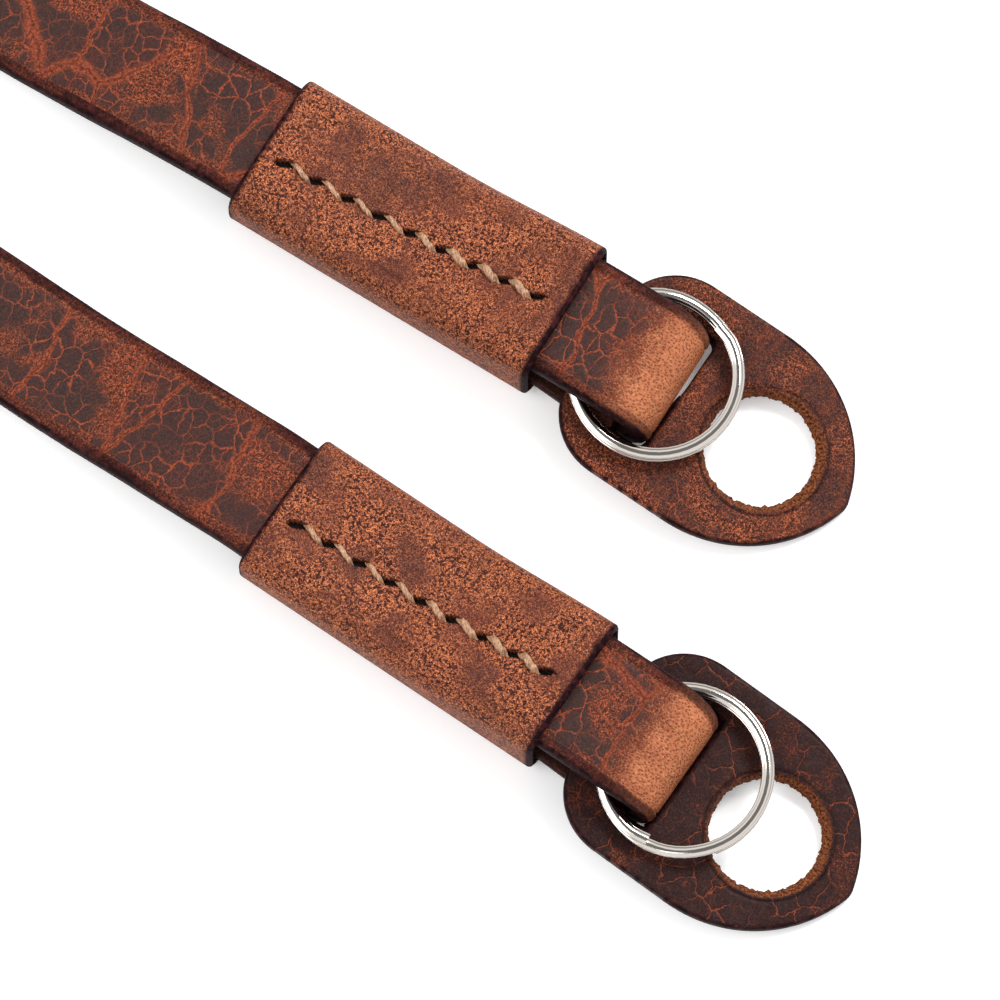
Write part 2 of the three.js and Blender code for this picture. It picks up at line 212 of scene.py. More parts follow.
def free_route(start, flare, left_run, right_run):
    """The strap between its two ends for a given flare and straight runs beside the loop."""
    rows = [start]
    quarter = math.pi / 2
    rows += walk(rows[-1], flat_run, 12, 0, 0, 0)
    rows += walk(rows[-1], twist_length, 54, 0, 0, quarter)
    rows += walk(rows[-1], flare_length, 24, -flare - splay, quarter, quarter)
    rows += walk(rows[-1], left_run, 8, 0, quarter, quarter)
    rows += walk_arc(rows[-1], math.pi + 2 * flare, 120)
    rows += walk(rows[-1], right_run, 8, 0, quarter, quarter)
    rows += walk(rows[-1], flare_length, 24, -flare - splay, quarter, quarter)
    rows += walk(rows[-1], twist_length, 54, 0, quarter, 0)
    rows += walk(rows[-1], flat_run, 12, 0, 0, 0)
    return rows


def flat_start(sign):
    """Where an end lies flat, heading away from its ring."""
    x, y, heading = end_place(sign)
    reach = keeper_length + settle_length
    return x - reach * math.cos(heading), y - reach * math.sin(heading), heading + math.pi, 0.0


def straight_runs(flare):
    """The straight runs beside the loop that bring the route to the other end."""
    bare = free_route(flat_start(1), flare, 0, 0)[-1]
    goal = flat_start(-1)
    total = (goal[1] - bare[1]) / math.sin(flare)
    difference = (goal[0] - bare[0]) / math.cos(flare)
    return (total - difference) / 2, (total + difference) / 2


narrow, wide = math.radians(3), math.radians(80)
for _ in range(40):
    flare = (narrow + wide) / 2
    bends = 2 * (flat_run + twist_length + flare_length) + loop_radius * (math.pi + 2 * flare)
    if 2 * end_leather + bends + sum(straight_runs(flare)) > strap_length:
        narrow = flare
    else:
        wide = flare
route = free_route(flat_start(1), flare, *straight_runs(flare))
print("flare", round(math.degrees(flare), 1), "degrees, route of", len(route), "points")

# %% [markdown]
# The two ends and the free run are joined into one table: the middle of the leather at each point, the
# direction across it, and how far along the strip the point is. The frame's own box then says where the
# whole lie stands.

# %% The whole lie as one table
def end_table(sign, backwards):
    """Middle points of one folded end and the direction across the leather there."""
    x, y, heading = end_place(sign)
    points = end_points[::-1] if backwards else end_points
    cos, sin = math.cos(heading), math.sin(heading)
    middle = np.column_stack([x + points[:, 0] * cos, y + points[:, 0] * sin, points[:, 1]])
    across = np.array([sin, -cos, 0.0]) * (-1 if backwards else 1)
    return middle, np.tile(across, (len(middle), 1))


def free_table():
    """The same for the free run, whose leather rolls from flat to on edge and back."""
    rows = np.array(route[1:-1])
    heading, roll = rows[:, 2], rows[:, 3]
    level = np.cos(roll)
    height = strap_width / 2 * np.sin(roll) + strap_thickness / 2 * level
    middle = np.column_stack([rows[:, 0], rows[:, 1], height])
    across = np.column_stack([-np.sin(heading) * level, np.cos(heading) * level, np.sin(roll)])
    return middle, across


tables = [end_table(1, False), free_table(), end_table(-1, True)]
lie_middle = np.concatenate([middle for middle, _ in tables])
lie_across = np.concatenate([across for _, across in tables])
lie_along = np.concatenate([[0], np.cumsum(np.linalg.norm(np.diff(lie_middle, axis=0), axis=1))])
strip_length = float(lie_along[-1])
tangent = np.gradient(lie_middle, lie_along, axis=0)
lie_up = np.cross(tangent, lie_across)
lie_up /= np.linalg.norm(lie_up, axis=1)[:, None]

strap_low, strap_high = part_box("strap")
loop_edge = lie_middle - lie_up * strap_thickness / 2
outer_edge = lie_middle + lie_up * strap_thickness / 2
lowest = np.minimum(loop_edge, outer_edge).min(axis=0)
highest = np.maximum(loop_edge, outer_edge).max(axis=0)
shift = (np.array(strap_low) + np.array(strap_high)) / 2 / MM - (lowest + highest) / 2
shift[2] = 0
print("strip of", round(strip_length, 1), "mm, shifted by", shift.round(2), "mm")


def lay(flat):
    """Takes points of the flat strip, along, across and up in millimetres, to where they lie."""
    along = flat[:, 0]
    middle = np.column_stack([np.interp(along, lie_along, lie_middle[:, i]) for i in range(3)])
    across = np.column_stack([np.interp(along, lie_along, lie_across[:, i]) for i in range(3)])
    up = np.column_stack([np.interp(along, lie_along, lie_up[:, i]) for i in range(3)])
    across /= np.linalg.norm(across, axis=1)[:, None]
    up /= np.linalg.norm(up, axis=1)[:, None]
    return middle + across * flat[:, 1:2] + up * flat[:, 2:3] + shift


def stand(sign):
    """A function that takes points of an end's own frame to where the end lies."""
    x, y, heading = end_place(sign)
    return lambda points: turned(points, heading, 0, 1) + np.array([x, y, 0]) + shift


def turned(points, angle, first, second):
    """Points turned by an angle in the plane of two of their columns, from the first to the second."""
    cos, sin = math.cos(angle), math.sin(angle)
    result = points.copy()
    result[:, first] = points[:, first] * cos - points[:, second] * sin
    result[:, second] = points[:, first] * sin + points[:, second] * cos
    return result


SIGNS = {"left": 1, "right": -1}

# %% [markdown]
# ## Helpers for the modelling
# Strap, ring wire and thread are all long things of one section. Each is drawn as a ring of points,
# filled, pulled out to its length and cut into short steps, all while it is straight. Its straight
# coordinates are then kept on every point in an attribute, so that the grain stays on the leather
# wherever it bends.

# %% Make a straight bar
def deselect():
    """Leaves nothing selected, so that an operator acts only on what comes next."""
    if bpy.context.object and bpy.context.object.mode != "OBJECT":
        bpy.ops.object.mode_set(mode="OBJECT")
    bpy.ops.object.select_all(action="DESELECT")


def activate(piece):
    """Selects one piece alone."""
    deselect()
    piece.select_set(True)
    bpy.context.view_layer.objects.active = piece


def select_edges(piece, wanted):
    """In edit mode, selects the edges whose two ends satisfy a test."""
    bpy.ops.mesh.select_mode(type="EDGE")
    bpy.ops.mesh.select_all(action="DESELECT")
    mesh = bmesh.from_edit_mesh(piece.data)
    for edge in mesh.edges:
        a, b = edge.verts
        edge.select_set(wanted(a.co / MM, b.co / MM))
    bmesh.update_edit_mesh(piece.data)


def bar(name, section, runs, closed=True):
    """A straight bar along X. Each run gives a length in millimetres and how many steps it is cut into."""
    deselect()
    fill = "NGON" if closed else "NOTHING"
    bpy.ops.mesh.primitive_circle_add(vertices=len(section), radius=MM, fill_type=fill)
    piece = bpy.context.object
    piece.name = piece.data.name = name
    for vertex, (across, up) in zip(piece.data.vertices, section):
        vertex.co = (0, across * MM, up * MM)
    bpy.ops.object.mode_set(mode="EDIT")
    bpy.ops.mesh.select_all(action="SELECT")
    start = 0.0
    stops = []
    for length, steps in runs:
        bpy.ops.mesh.extrude_region_move(TRANSFORM_OT_translate={"value": (length * MM, 0, 0)})
        stops.append((start, start + length, steps))
        start += length
    for low, high, steps in stops:
        middle = (low + high) / 2
        select_edges(piece, lambda a, b: (a.x - middle) * (b.x - middle) < 0)
        bpy.ops.mesh.subdivide(number_cuts=steps - 1)
    bpy.ops.mesh.select_all(action="SELECT")
    bpy.ops.mesh.normals_make_consistent(inside=False)
    bpy.ops.object.mode_set(mode="OBJECT")
    return piece


# %% Read, mark and move the points of a piece
def points_of(piece):
    """The points of a piece in millimetres."""
    flat = np.empty(len(piece.data.vertices) * 3)
    piece.data.vertices.foreach_get("co", flat)
    return flat.reshape(-1, 3) / MM


def mark(piece, name, values):
    """Keeps a number, or a place in millimetres, on every point."""
    kind, field = ("FLOAT_VECTOR", "vector") if values.ndim == 2 else ("FLOAT", "value")
    layer = piece.data.attributes.get(name) or piece.data.attributes.new(name, kind, "POINT")
    layer.data.foreach_set(field, values.astype(np.float32).ravel())


def move(piece, points):
    """Puts the points of a piece where an array in millimetres says."""
    piece.data.vertices.foreach_set("co", (points * MM).astype(np.float32).ravel())
    piece.data.update()


def recalculate_normals(piece):
    """Turns all faces outwards."""
    activate(piece)
    bpy.ops.object.mode_set(mode="EDIT")
    bpy.ops.mesh.select_all(action="SELECT")
    bpy.ops.mesh.normals_make_consistent(inside=False)
    bpy.ops.object.mode_set(mode="OBJECT")


def smooth_shade(piece, degrees):
    """Smooth shading with sharp edges past an angle."""
    activate(piece)
    bpy.ops.object.shade_smooth_by_angle(angle=math.radians(degrees))


def finish_piece(piece, material, replaced=None):
    """Gives a piece its material and slot, hangs it on the root body and hides the part of the frame that
    it replaces.
    """
    piece.data.materials.clear()
    piece.data.materials.append(material)
    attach(piece, "root")
    if replaced:
        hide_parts(replaced)


def waver(points, size, amount, seed):
    """A slow random swell, one number for each point. Size and amount are in millimetres."""
    offset = Vector((seed * 17.3, seed * 5.1, seed * 9.7))
    return np.array([noise.noise(Vector(p) / size + offset) for p in points]) * amount


# %% [markdown]
# ## Materials
# The leather is waxed pull-up cowhide. Dark wax lies in the top of the grain. Wherever the hide has
# been bent, the wax has cracked, and the rust-coloured dye below shows as fine veins and as short
# curled lines. The same build-up makes every leather piece, with other sizes and colours, because the
# sleeve, the strap and the guards come from other parts of a hide. All of it is nodes: nothing is
# painted or read from a file.

# %% Colours and the node helper
def linear(hex_colour):
    """An sRGB hex colour as linear RGBA."""
    channels = [int(hex_colour[i:i + 2], 16) / 255 for i in (1, 3, 5)]
    return [c / 12.92 if c <= 0.04045 else ((c + 0.055) / 1.055) ** 2.4 for c in channels] + [1.0]


def add_node(tree, kind, inputs, **settings):
    """Adds a node with its settings, and links or sets its inputs."""
    node = tree.nodes.new("ShaderNode" + kind)
    for name, value in settings.items():
        setattr(node, name, value)
    for key, value in inputs.items():
        if isinstance(value, bpy.types.Node):
            value = value.outputs[0]
        if isinstance(value, bpy.types.NodeSocket):
            tree.links.new(value, node.inputs[key])
        else:
            node.inputs[key].default_value = value
    return node


def new_material(name):
    """An empty node material, and the function that adds its nodes."""
    material = bpy.data.materials.new(name)
    material.use_nodes = True
    material.node_tree.nodes.clear()
    return material, partial(add_node, material.node_tree)


# A Mix node has one set of sockets for each kind of value. These are the numbers of those for colours.
FACTOR, UNDER, OVER, MIXED = 0, 6, 7, 2
COLOURS = {"data_type": "RGBA"}
SMOOTH = {"interpolation_type": "SMOOTHSTEP"}
FLAT = {"voronoi_dimensions": "2D"}

# %% [markdown]
# The hide's pattern is a set of masks from 0 to 1. Polygons of unbroken wax are the cells of a Voronoi
# pattern, and the veins are the borders between them. A noise pushes the borders out of line, so that
# they wander as real cracks do. The curled lines are where a noise crosses its own middle value.

# %% Parts of the pattern
def wandering(add, place, size, distance):
    """The place on the hide, pushed aside by a slow swirl."""
    swirl = add("TexNoise", {"Vector": place, "Scale": 1 / size, "Detail": 3.0}).outputs["Color"]
    centred = add("VectorMath", {0: swirl, 1: (0.5, 0.5, 0.5)}, operation="SUBTRACT")
    pushed = add("VectorMath", {0: centred, "Scale": distance}, operation="SCALE")
    return add("VectorMath", {0: place, 1: pushed}, operation="ADD")


def away_from_cracks(add, place, size, stretch=(1.0, 1.0, 1.0)):
    """Distance in millimetres from the borders between cells of a size."""
    scaled = add("Mapping", {"Vector": place, "Scale": stretch})
    distance = add("TexVoronoi", {"Vector": scaled, "Scale": 1 / size}, feature="DISTANCE_TO_EDGE", **FLAT)
    return add("Math", {0: distance, 1: size}, operation="MULTIPLY")


def curled_lines(add, place, size, width):
    """Short curled lines, as wax that has crazed."""
    noise = add("TexNoise", {"Vector": place, "Scale": 1 / size, "Detail": 1.5})
    crossing = add("Math", {0: noise, 1: 0.5}, operation="SUBTRACT")
    away = add("Math", {0: crossing}, operation="ABSOLUTE")
    return add("MapRange", {"Value": away, "From Max": width, "To Min": 1.0, "To Max": 0.0}, **SMOOTH)


def patches(add, place, size, low, high, detail=3.0):
    """Soft patches where a noise rises from a low to a high value."""
    noise = add("TexNoise", {"Vector": place, "Scale": 1 / size, "Detail": detail})
    return add("MapRange", {"Value": noise, "From Min": low, "From Max": high}, **SMOOTH)


# %% The hide's masks by name
def hide_masks(add, look):
    """Masks of the hide's own pattern, and of the wear, painted shade and painted highlight kept on the
    mesh.
    """
    masks = {
        name: add("Attribute", {}, attribute_name=name).outputs["Fac"]
        for name in ("edge", "raw", "stretch", "slit_and_shade", "rub")
    }
    hide = add("Attribute", {}, attribute_name="hide").outputs["Vector"]
    place = masks["place"] = add("Mapping", {"Vector": hide, "Location": look["place"]})
    patch, vein = look["patch"], look["vein"]
    cell = away_from_cracks(add, wandering(add, place, 1.2, 1.3), look["cell"], look["cell_stretch"])
    fine_cell = away_from_cracks(add, wandering(add, place, 0.7, 0.6), look["cell"] * 0.45)
    crease = away_from_cracks(add, wandering(add, place, 3.0, 2.2), look["crease"], look["crease_stretch"])
    here = patches(add, place, patch * 0.5, look["vein_low"], look["vein_high"], 2.0)
    fine_here = patches(add, place, patch * 0.3, look["vein_low"] + 0.15, look["vein_high"] + 0.12, 2.0)
    # Each line is full at one distance in millimetres and gone at the next, and is multiplied by a share.
    lines = {
        "vein": (cell, vein * 0.25, vein, 1.0, here),
        "fine_vein": (fine_cell, 0.0, vein * 0.6, 0.8, fine_here),
        "beside_vein": (cell, 0.0, vein * 2.2, 0.6, here),
        "beside_crease": (crease, 0.05, 0.34, 1.0, look["crease_share"]),
        "crease": (crease, 0.0, 0.09, 1.0, look["crease_share"]),
    }
    for name, (distance, full, gone, top, share) in lines.items():
        values = {"Value": distance, "From Min": full, "From Max": gone, "To Min": top, "To Max": 0.0}
        masks[name] = add("Math", {0: add("MapRange", values, **SMOOTH), 1: share}, operation="MULTIPLY")
    plateau = add("MapRange", {"Value": cell, "From Max": vein * 2.5}, **SMOOTH)
    masks["plateau"] = add("Math", {0: plateau, 1: add("Math", {0: here, 1: 0.1})}, operation="MULTIPLY")
    return masks


# %% [markdown]
# Where the wax is crazed, curled lines show on a redder ground with dark pits between them. That is
# beside the veins, in loose patches, and wherever a piece is rubbed. At a fold the hide is pulled thin:
# it turns tan, and its pores open into rows of dark dots.
# The paler tan on a fold's round nose is partly painted highlight, where the light falls on the bend.

# %% Crazed wax and stretched grain
def craze_masks(add, look, masks):
    """Adds the masks of crazed wax."""
    place, patch, grain = masks["place"], look["patch"], look["grain"]
    area = patches(add, place, patch * 0.6, look["worm_low"], look["worm_high"])
    rubbed = add("Math", {0: masks["rub"], 1: 0.9}, operation="MULTIPLY")
    for mask in (rubbed, masks["beside_vein"], masks["beside_crease"]):
        area = add("Math", {0: area, 1: mask}, operation="MAXIMUM")
    coarse = curled_lines(add, place, grain, 0.045)
    fine = add("Math", {0: curled_lines(add, place, grain * 0.66, 0.035), 1: 0.7}, operation="MULTIPLY")
    lines = add("Math", {0: coarse, 1: fine}, operation="MAXIMUM")
    shown = add("Math", {0: area, 1: look["fleck"]}, operation="MAXIMUM")
    pits = patches(add, place, 0.26, 0.52, 0.6, 1.0)
    masks["crazed"] = area
    masks["curled"] = add("Math", {0: lines, 1: shown}, operation="MULTIPLY")
    pitted = add("Math", {0: area, 1: look["pit_share"]}, operation="MULTIPLY")
    masks["pits"] = add("Math", {0: pitted, 1: pits}, operation="MULTIPLY")
    veins = add("Math", {0: masks["vein"], 1: masks["fine_vein"]}, operation="MAXIMUM")
    masks["veins"] = add("Math", {0: veins, 1: masks["beside_crease"]}, operation="MAXIMUM")


def stretched_grain_and_highlight(add, masks):
    """Tan of the pulled hide at a fold, partly painted highlight on the lit bend, and adds the masks of
    where it shows and of its pores.
    """
    place = masks["place"]
    pore_place = add("Mapping", {"Vector": wandering(add, place, 0.8, 0.2), "Scale": (1.0, 1.3, 1.0)})
    pore = add("TexVoronoi", {"Vector": pore_place, "Scale": 1 / 0.32}, feature="F1", **FLAT)
    values = {"Value": pore, "From Min": 0.1, "From Max": 0.42, "To Min": 0.65, "To Max": 0.0}
    pores = add("MapRange", values, **SMOOTH)
    clouds = add("TexNoise", {"Vector": place, "Scale": 1 / 1.6, "Detail": 3.0})
    pull = add("Math", {0: clouds, 1: 0.6, 2: masks["stretch"]}, operation="MULTIPLY_ADD")
    paleness_and_highlight = add("MapRange", {"Value": pull, "From Min": 0.75, "From Max": 1.55}, **SMOOTH)
    shown = add("MapRange", {"Value": pull, "From Min": 0.45, "From Max": 1.05}, **SMOOTH)
    near = add("MapRange", {"Value": masks["stretch"], "From Max": 0.25}, **SMOOTH)
    masks["pulled"] = add("Math", {0: shown, 1: near}, operation="MULTIPLY")
    masks["pores"] = add("Math", {0: pores, 1: masks["pulled"]}, operation="MULTIPLY")
    curls = add("Math", {0: curled_lines(add, place, 0.33, 0.05), 1: 0.35}, operation="MULTIPLY")
    tan = linear("#622A1C")
    for mask, over in ((paleness_and_highlight, "#B06A49"), (curls, "#D0935F"), (pores, "#35130C")):
        tan = add("Mix", {FACTOR: mask, UNDER: tan, OVER: linear(over)}, **COLOURS).outputs[MIXED]
    return tan


# %% Leather
def leather(name, look):
    """Waxed pull-up leather. The look's sizes are in millimetres on the real hide."""
    material, add = new_material(name)
    masks = hide_masks(add, look)
    craze_masks(add, look, masks)
    tan = stretched_grain_and_highlight(add, masks)
    place = masks["place"]

    # Colours are laid one over another, from the wax up to the dye of the cut edge, and last the painted
    # shade of slits and grooves.
    fibre = patches(add, place, 0.2, 0.35, 0.65, 4.0)
    flesh = {FACTOR: fibre, UNDER: linear(look["flesh_dark"]), OVER: linear(look["flesh_light"])}
    polish = patches(add, place, 0.6, 0.45, 0.65)
    burnish = {FACTOR: polish, UNDER: linear("#15080B"), OVER: linear("#331518")}
    layers = [
        (patches(add, place, look["patch"], 0.38, 0.64), 1.0, linear(look["warm"])),
        (patches(add, place, 0.3, 0.35, 0.7), look["mottle"], linear(look["under"])),
        (masks["crazed"], 0.7, linear(look["under"])),
        (masks["veins"], 0.85, linear(look["vein_colour"])),
        (masks["curled"], look["worm_share"], linear(look["worm_colour"])),
        (masks["pits"], 1.0, linear("#2A1210")),
        (masks["crease"], 0.6, linear("#2A1210")),
        # The tan at the folds is partly real pull-up and partly painted highlight.
        (masks["pulled"], 1.0, tan),
        (masks["raw"], 1.0, add("Mix", flesh, **COLOURS).outputs[MIXED]),
        (masks["edge"], 1.0, add("Mix", burnish, **COLOURS).outputs[MIXED]),
        # The slits, the tooled lines and the groove round a guard's hole are painted near black: painted
        # shade.
        (masks["slit_and_shade"], 1.0, linear("#080303")),
    ]
    colour = linear(look["dark"])
    for mask, share, over in layers:
        factor = add("Math", {0: mask, 1: share}, operation="MULTIPLY")
        colour = add("Mix", {FACTOR: factor, UNDER: colour, OVER: over}, **COLOURS).outputs[MIXED]

    # Crazed wax and raw fibre are duller than the whole wax. A rubbed edge keeps a soft, low sheen.
    rough, gloss = look["roughness"], 0.16
    for mask, share in (("crazed", 0.1), ("raw", 0.35), ("edge", 0.06)):
        rough = add("Math", {0: masks[mask], 1: share, 2: rough}, operation="MULTIPLY_ADD")
    gloss = add("Math", {0: masks["edge"], 1: -0.1, 2: gloss}, operation="MULTIPLY_ADD")

    # Plateaus of wax stand highest, on fine and coarse unevenness. Creases, pits and pores go into them.
    heights = [
        (add("TexNoise", {"Vector": place, "Scale": 1 / 0.22, "Detail": 2.0}), 0.5),
        (add("TexNoise", {"Vector": place, "Scale": 1 / 1.1, "Detail": 2.0}), 0.8),
        (masks["crease"], -1.2),
        (masks["beside_crease"], -0.4),
        (masks["pits"], -0.5),
        (masks["pores"], -0.7),
    ]
    relief = masks["plateau"]
    for height, share in heights:
        relief = add("Math", {0: height, 1: share, 2: relief}, operation="MULTIPLY_ADD")
    calm = add("Math", {0: masks["edge"], 1: -0.8, 2: 1.0}, operation="MULTIPLY_ADD")
    relief = add("Math", {0: relief, 1: calm}, operation="MULTIPLY")
    bump = add("Bump", {"Strength": look["bump"], "Distance": 0.06 * MM, "Height": relief})
    shader = add("BsdfPrincipled", {
        "Base Color": colour, "Roughness": rough, "Specular IOR Level": gloss, "Normal": bump,
        "Specular Tint": linear("#D0C4C2"),
    })
    add("OutputMaterial", {"Surface": shader})
    return material

# %% [markdown]
# The looks differ in the size of the cells and in how much of the wax is broken. The strap keeps large
# dark plateaus. The sleeve was worked wet and is crazed all over. The left guard is crazed too, and the
# right guard is the darkest, with long sparse cracks.

# %% Looks of the four leathers
strap_look = {
    "dark": "#252121", "warm": "#2E2121", "under": "#40201A", "vein_colour": "#7E3823",
    "worm_colour": "#B05A36", "worm_share": 0.9, "worm_low": 0.48, "worm_high": 0.66,
    "cell": 1.5, "cell_stretch": (1.0, 0.8, 1.0), "vein": 0.085, "vein_low": 0.3, "vein_high": 0.6,
    "crease": 9.0, "crease_stretch": (1.0, 0.33, 1.0), "crease_share": 0.8,
    "grain": 0.3, "fleck": 0.15, "mottle": 0.24, "pit_share": 0.7, "patch": 9.0,
    "roughness": 0.48, "bump": 0.8, "place": (0, 0, 0),
    # The strap's flesh colours are near black as painted shade: its flesh side shows between the layers
    # under the keeper ends, where shade falls.
    "flesh_dark": "#1E100D", "flesh_light": "#3A2018",
}
keeper_look = strap_look | {
    "dark": "#26191D", "warm": "#462320", "under": "#5A2A21", "vein_colour": "#6E3624",
    "worm_colour": "#DA8250", "worm_share": 0.95, "worm_low": 0.25, "worm_high": 0.58,
    "vein_low": 0.6, "vein_high": 0.85, "crease_share": 0.0,
    "grain": 0.25, "fleck": 0.35, "mottle": 0.45, "pit_share": 0.95, "patch": 8.0,
}
guard_left_look = strap_look | {
    "dark": "#211618", "warm": "#2A1817", "under": "#381B17",
    "worm_colour": "#C0683F", "worm_low": 0.34, "worm_high": 0.68,
    "cell": 1.2, "vein": 0.07, "vein_low": 0.38, "vein_high": 0.7, "crease": 6.0, "crease_share": 0.2,
    "grain": 0.27, "fleck": 0.3, "pit_share": 0.85, "patch": 7.0, "place": (60, 0, 0),
    "flesh_dark": "#33170F", "flesh_light": "#7E4829",
}
guard_right_look = guard_left_look | {
    "dark": "#150F12", "warm": "#1A1214", "under": "#221415", "vein_colour": "#74361F",
    "worm_colour": "#8A4529", "worm_share": 0.75, "worm_low": 0.46, "worm_high": 0.75,
    "cell": 2.2, "vein": 0.065, "vein_low": 0.4, "vein_high": 0.58, "crease_share": 0.0,
    "fleck": 0.24, "place": (110, 0, 0),
}
# To the eye the strap is smoky brown islands in a net of rust lines, with a soft low sheen.
strap_leather = leather("waxed_pull_up_cowhide", strap_look)
# The sleeve is a warm orange brown, finely speckled all over, with a few darker clouds.
keeper_leather = leather("waxed_calf_leather", keeper_look)
# The left guard is reddish brown and speckled. The right guard is almost black, with a few rust cracks.
guard_leathers = {
    "left": leather("waxed_shoulder_leather", guard_left_look),
    "right": leather("dark_waxed_shoulder_leather", guard_right_look),
}

# %% [markdown]
# The rings are spring wire plated with nickel. Polished nickel is a slightly warm mirror, so the metal has
# a light warm grey and a low roughness that changes a little from place to place.

# %% Nickel-plated wire
# It gives the eye a bright ring with thin dark lines along it, where it mirrors the dark roof of the tent.
nickel, add = new_material("nickel_plated_steel")
spot = add("TexCoord", {}).outputs["Object"]
# Draw marks run round the wire and are a few hundredths of a millimetre wide. They are too fine to show,
# so they are drawn as a soft smear about a millimetre long.
smear = add("TexNoise", {"Vector": spot, "Scale": 900.0, "Detail": 2.0})
shine = {"Value": smear, "From Min": 0.3, "From Max": 0.7, "To Min": 0.06, "To Max": 0.14}
nickel_shader = add("BsdfPrincipled", {
    "Base Color": linear("#BCB5AE"), "Metallic": 1.0, "Roughness": add("MapRange", shine, **SMOOTH),
})
add("OutputMaterial", {"Surface": nickel_shader})

# %% [markdown]
# The thread is three-ply linen, waxed so that it slides through the slits. Its fibres run along the
# ply, so the pattern is stretched along the thread.

# %% Waxed linen thread
# It gives the eye a dull sand colour with fine darker fibres.
thread_material, add = new_material("waxed_linen_thread")
lie = add("Attribute", {}, attribute_name="hide").outputs["Vector"]
fibre_place = add("Mapping", {"Vector": lie, "Scale": (1.0, 5.0, 5.0)})
fibre = add("TexNoise", {"Vector": fibre_place, "Scale": 3.5, "Detail": 3.0})
shade = add("MapRange", {"Value": fibre, "From Min": 0.35, "From Max": 0.65}, **SMOOTH)
thread_colour = add("Mix", {FACTOR: shade, UNDER: linear("#6A4631"), OVER: linear("#BC9270")}, **COLOURS)
thread_shader = add("BsdfPrincipled", {
    "Base Color": thread_colour.outputs[MIXED], "Roughness": 0.62,
    "Normal": add("Bump", {"Strength": 0.6, "Distance": 0.06 * MM, "Height": fibre}),
})
add("OutputMaterial", {"Surface": thread_shader})
print("materials", [m.name for m in bpy.data.materials])

# %% [markdown]
# ## The strap
# The strip is modelled flat, as it is cut: a section with rounded, burnished edges and a tooled line
# pressed beside each edge, pulled out to its whole length. It is cut into finer steps near its ends,
# where it folds and where the camera is close. Then it is laid along its route.

# %% Section of the strap
half_width = strap_width / 2
half_thickness = strap_thickness / 2
# Right half of the section from the middle of the flesh side to the middle of the grain side:
# distance in from the edge, then height, both in millimetres.
half_section = [
    (6.0, -1.0), (3.0, -1.0), (0.9, -1.0), (0.45, -1.0), (0.2, -0.93), (0.05, -0.74), (0.0, -0.45),
    (0.0, 0.0), (0.02, 0.4), (0.1, 0.66), (0.26, 0.85), (0.5, 0.96), (0.8, 1.0), (1.02, 0.99),
    (1.14, 0.93), (1.24, 0.87), (1.34, 0.93), (1.46, 0.99), (1.9, 1.0), (3.0, 1.0), (4.4, 1.0), (6.0, 1.0),
]
right_side = [(half_width - inset, up) for inset, up in half_section]
strap_section = right_side + [(-across, up) for across, up in right_side[-2:0:-1]]

# %% Cut the strip and lay it
fine_run = 120.0
cuts = [(fine_run, 260), (strip_length - 2 * fine_run, 560), (fine_run, 260)]
strap_piece = bar("strap_leather", strap_section, cuts)
flat = points_of(strap_piece)
mark(strap_piece, "hide", flat)
from_side = half_width - np.abs(flat[:, 1])
to_nose = lie_along[nose]
from_nose = np.minimum(np.abs(flat[:, 0] - to_nose), np.abs(flat[:, 0] - (strip_length - to_nose)))

# Wear: a rubbed band inside each edge, the burnished rim, the raw flesh side and the stretched folds. The
# flesh side's near black is painted shade, and the folds' paler tan is partly painted highlight.
rubbed = waver(flat, size=2.2, amount=0.9, seed=13)
mark(strap_piece, "rub", smooth((1.9 + rubbed - from_side) / 0.9) * (flat[:, 2] > 0))
worn = waver(flat, size=1.3, amount=0.22, seed=1) + waver(flat, size=5.0, amount=0.15, seed=2)
rim = smooth((0.5 + worn - from_side) / 0.3)
band = smooth((1.2 + worn * 0.6 - from_side) / 0.25) * (0.62 + waver(flat, size=9.0, amount=0.9, seed=17))
mark(strap_piece, "edge", np.maximum(rim, np.clip(band, 0, 0.85)) * (flat[:, 2] > -0.9))
# The strap's raw flesh side is painted near black as shade.
mark(strap_piece, "raw", (flat[:, 2] <= -0.9) * 1.0)
# This mask also carries a painted highlight: the fold's nose is paler where the light falls on the bend.
mark(strap_piece, "stretch", smooth(1.4 - from_nose / 6.5) * (flat[:, 2] > 0.5))

# Shape: shallow dents in the grain, slightly uneven edges, and folds drawn in by a twentieth.
dents = waver(flat, size=3.2, amount=0.035, seed=3) * (flat[:, 2] > 0.9) * smooth(from_side / 1.5 - 0.6)
flat[:, 2] -= np.abs(dents)
uneven = waver(flat * [1, 0, 0], size=4.0, amount=0.05, seed=4)
flat[:, 1] += uneven * (np.abs(flat[:, 1]) > half_width - 0.3)
flat[:, 1] *= 1 - 0.05 * np.exp(-(from_nose / 2.5) ** 2)
# The underside stays a hair above the floor.
flat[:, 2] = np.maximum(flat[:, 2], -0.99)
move(strap_piece, lay(flat))
recalculate_normals(strap_piece)
smooth_shade(strap_piece, 60)
finish_piece(strap_piece, strap_leather, "strap")
print("strap faces", len(strap_piece.data.polygons))

# %% [markdown]
# ## The keepers
# A keeper is a thin piece of leather wrapped round both layers. One row of saddle stitch runs down its
# middle. Its holes are slanted awl slits, and the thread pulls the leather in a little along the row.
# The tube is pulled out from its section like the strap, with many fine lengthwise edges where the
# slits come.

# %% The saddle stitch, in an end's own frame
stitch_start = np.array([-30.0, -1.25])
stitch_end = np.array([-2.3, -0.35])
stitch_count = 8
row = stitch_end - stitch_start
row_length = float(np.linalg.norm(row))
row_along = row / row_length
row_across = np.array([-row_along[1], row_along[0]])
# A slit and a stitch make one step of the row; the row starts and ends with a slit.
slit_share = 0.5
step_length = row_length / (stitch_count + slit_share)
slit_rise = 0.72
stitch_gauge = {"left": (0.46, 0.72), "right": (0.48, 0.7)}


